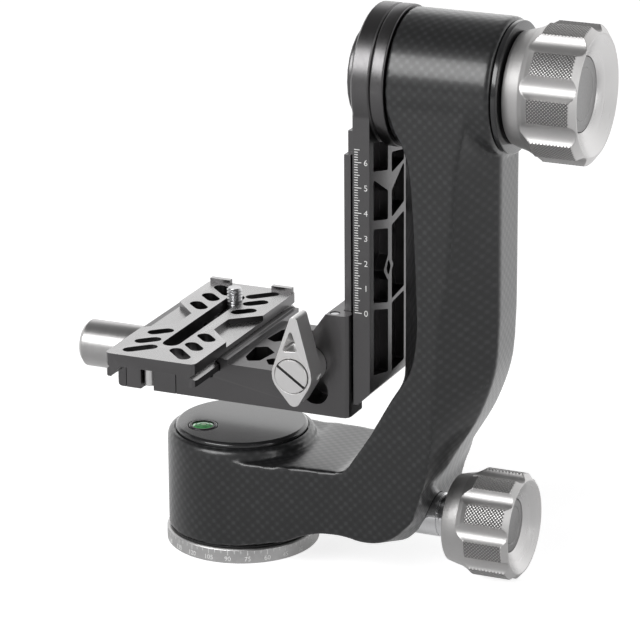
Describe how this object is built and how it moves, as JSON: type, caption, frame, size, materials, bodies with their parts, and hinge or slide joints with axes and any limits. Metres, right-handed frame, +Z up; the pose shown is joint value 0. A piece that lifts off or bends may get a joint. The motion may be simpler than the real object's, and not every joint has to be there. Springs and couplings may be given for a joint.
{
  "type": "gimbal tripod head",
  "caption": "Gimbal head with a moulded carbon arm on a pan base, a swing arm on a tilt shaft, a height-adjustable bracket and a clamped sliding plate.",
  "frame": {"origin": "pan axis at the underside of the base, where the tripod's stud enters", "axes": "+Z up along the pan axis, +X along the tilt shaft towards its knob, -Y towards the lever side"},
  "size_m": [0.2164, 0.0966, 0.2268],
  "materials": {
    "carbon_shell": "satin carbon weave",
    "black_metal": "satin black anodised",
    "dark_metal": "satin dark grey anodised",
    "silver_metal": "matt silver anodised",
    "chrome_sleeve": "bright chrome",
    "steel": "machined",
    "brass": "machined",
    "washer_plastic": "matt",
    "level_liquid": "clear, green liquid"
  },
  "bodies": {
    "base": {"pan_base": "silver_metal", "tripod_bush": "steel", "glide_washer": "washer_plastic", "pan_spindle": "steel", "spindle_nut": "steel"},
    "arm": {"arm_shell": "carbon_shell", "pan_bearing_lower": "steel", "pan_bearing_upper": "steel", "pan_cap": "black_metal", "level_ring": "black_metal", "level_vial": "level_liquid", "pan_lock_sleeve": "chrome_sleeve", "tilt_flange": "black_metal", "tilt_bearing_inner": "steel", "tilt_bearing_outer": "steel", "tilt_cover": "black_metal"},
    "pan_brake": {"pan_brake_shoe": "brass"},
    "pan_lock_knob": {"pan_knob": "silver_metal", "pan_knob_cap": "silver_metal", "pan_lock_screw": "steel"},
    "tilt_brake": {"tilt_brake_plate": "steel"},
    "tilt_lock_knob": {"tilt_knob": "silver_metal", "tilt_knob_cap": "silver_metal", "tilt_lock_screw": "steel"},
    "swing": {"swing_arm": "dark_metal", "tilt_shaft": "steel", "tilt_bolt": "steel", "rail_disc": "dark_metal", "height_rail": "dark_metal", "rail_screw_lower": "steel", "rail_screw_upper": "steel", "height_stop_screw": "steel"},
    "bracket": {"l_bracket": "dark_metal", "bracket_set_screw": "steel", "clamp_body": "dark_metal", "clamp_screw_front": "steel", "clamp_screw_rear": "steel", "lock_nut": "steel"},
    "lever": {"height_lever": "silver_metal", "lever_screw": "silver_metal", "lock_bolt": "steel"},
    "gib": {"height_gib": "brass"},
    "jaw": {"clamp_jaw": "dark_metal", "jaw_guide_pin_front": "steel", "jaw_guide_pin_rear": "steel"},
    "jaw_knob": {"clamp_knob": "silver_metal", "clamp_bolt": "steel"},
    "pin": {"safety_pin": "chrome_sleeve"},
    "plate": {"qr_plate": "dark_metal"},
    "retainer": {"screw_retainer": "steel"},
    "screw": {"camera_screw": "steel"}
  },
  "joints": [
    {"name": "pan", "type": "hinge", "parent": "base", "child": "arm", "pos_m": [0, 0, 0], "axis": [0, 0, 1], "continuous": true},
    {"name": "pan_brake_slide", "type": "slide", "parent": "arm", "child": "pan_brake", "axis": [-1, 0, 0], "range_m": [0, 0.0006]},
    {"name": "pan_knob_turn", "type": "hinge", "parent": "pan_brake", "child": "pan_lock_knob", "pos_m": [0, 0, 0.0225], "axis": [-1, 0, 0], "range_deg": [0, 270]},
    {"name": "tilt", "type": "hinge", "parent": "arm", "child": "swing", "pos_m": [0, 0, 0.1995], "axis": [1, 0, 0], "continuous": true},
    {"name": "tilt_brake_slide", "type": "slide", "parent": "arm", "child": "tilt_brake", "axis": [-1, 0, 0], "range_m": [0, 0.0006]},
    {"name": "tilt_knob_turn", "type": "hinge", "parent": "tilt_brake", "child": "tilt_lock_knob", "pos_m": [0, 0, 0.1995], "axis": [-1, 0, 0], "range_deg": [0, 270]},
    {"name": "height_slide", "type": "slide", "parent": "swing", "child": "bracket", "axis": [0, 0, 1], "range_m": [0, 0.065]},
    {"name": "lever_turn", "type": "hinge", "parent": "bracket", "child": "lever", "pos_m": [0.0422, 0, 0.0889], "axis": [0, -1, 0], "range_deg": [0, 90]},
    {"name": "gib_slide", "type": "slide", "parent": "bracket", "child": "gib", "axis": [0, 1, 0], "range_m": [0, 0.0005]},
    {"name": "jaw_slide", "type": "slide", "parent": "bracket", "child": "jaw", "axis": [-1, 0, 0], "range_m": [0, 0.0045]},
    {"name": "jaw_knob_turn", "type": "hinge", "parent": "jaw", "child": "jaw_knob", "pos_m": [0, 0, 0.0736], "axis": [-1, 0, 0], "range_deg": [0, 1080]},
    {"name": "safety_pin_slide", "type": "slide", "parent": "bracket", "child": "pin", "axis": [0, 0, -1], "range_m": [0, 0.0015], "stiffness_N_per_m": 400, "springref_m": -0.001},
    {"name": "plate_slide", "type": "slide", "parent": "bracket", "child": "plate", "axis": [0, 1, 0], "range_m": [-0.032, 0.016]},
    {"name": "retainer_slide", "type": "slide", "parent": "plate", "child": "retainer", "axis": [0, 1, 0], "range_m": [-0.057, 0.001]},
    {"name": "camera_screw_turn", "type": "hinge", "parent": "retainer", "child": "screw", "pos_m": [-0.0156, 0.028, 0], "axis": [0, 0, 1], "continuous": true}
  ],
  "couplings": [
    {"joint": "pan_knob_turn", "follows": "pan_brake_slide", "rad_per_m": 7853.9},
    {"joint": "tilt_knob_turn", "follows": "tilt_brake_slide", "rad_per_m": 7853.9},
    {"joint": "lever_turn", "follows": "gib_slide", "rad_per_m": 3141.5},
    {"joint": "jaw_knob_turn", "follows": "jaw_slide", "rad_per_m": 4188.7}
  ]
}
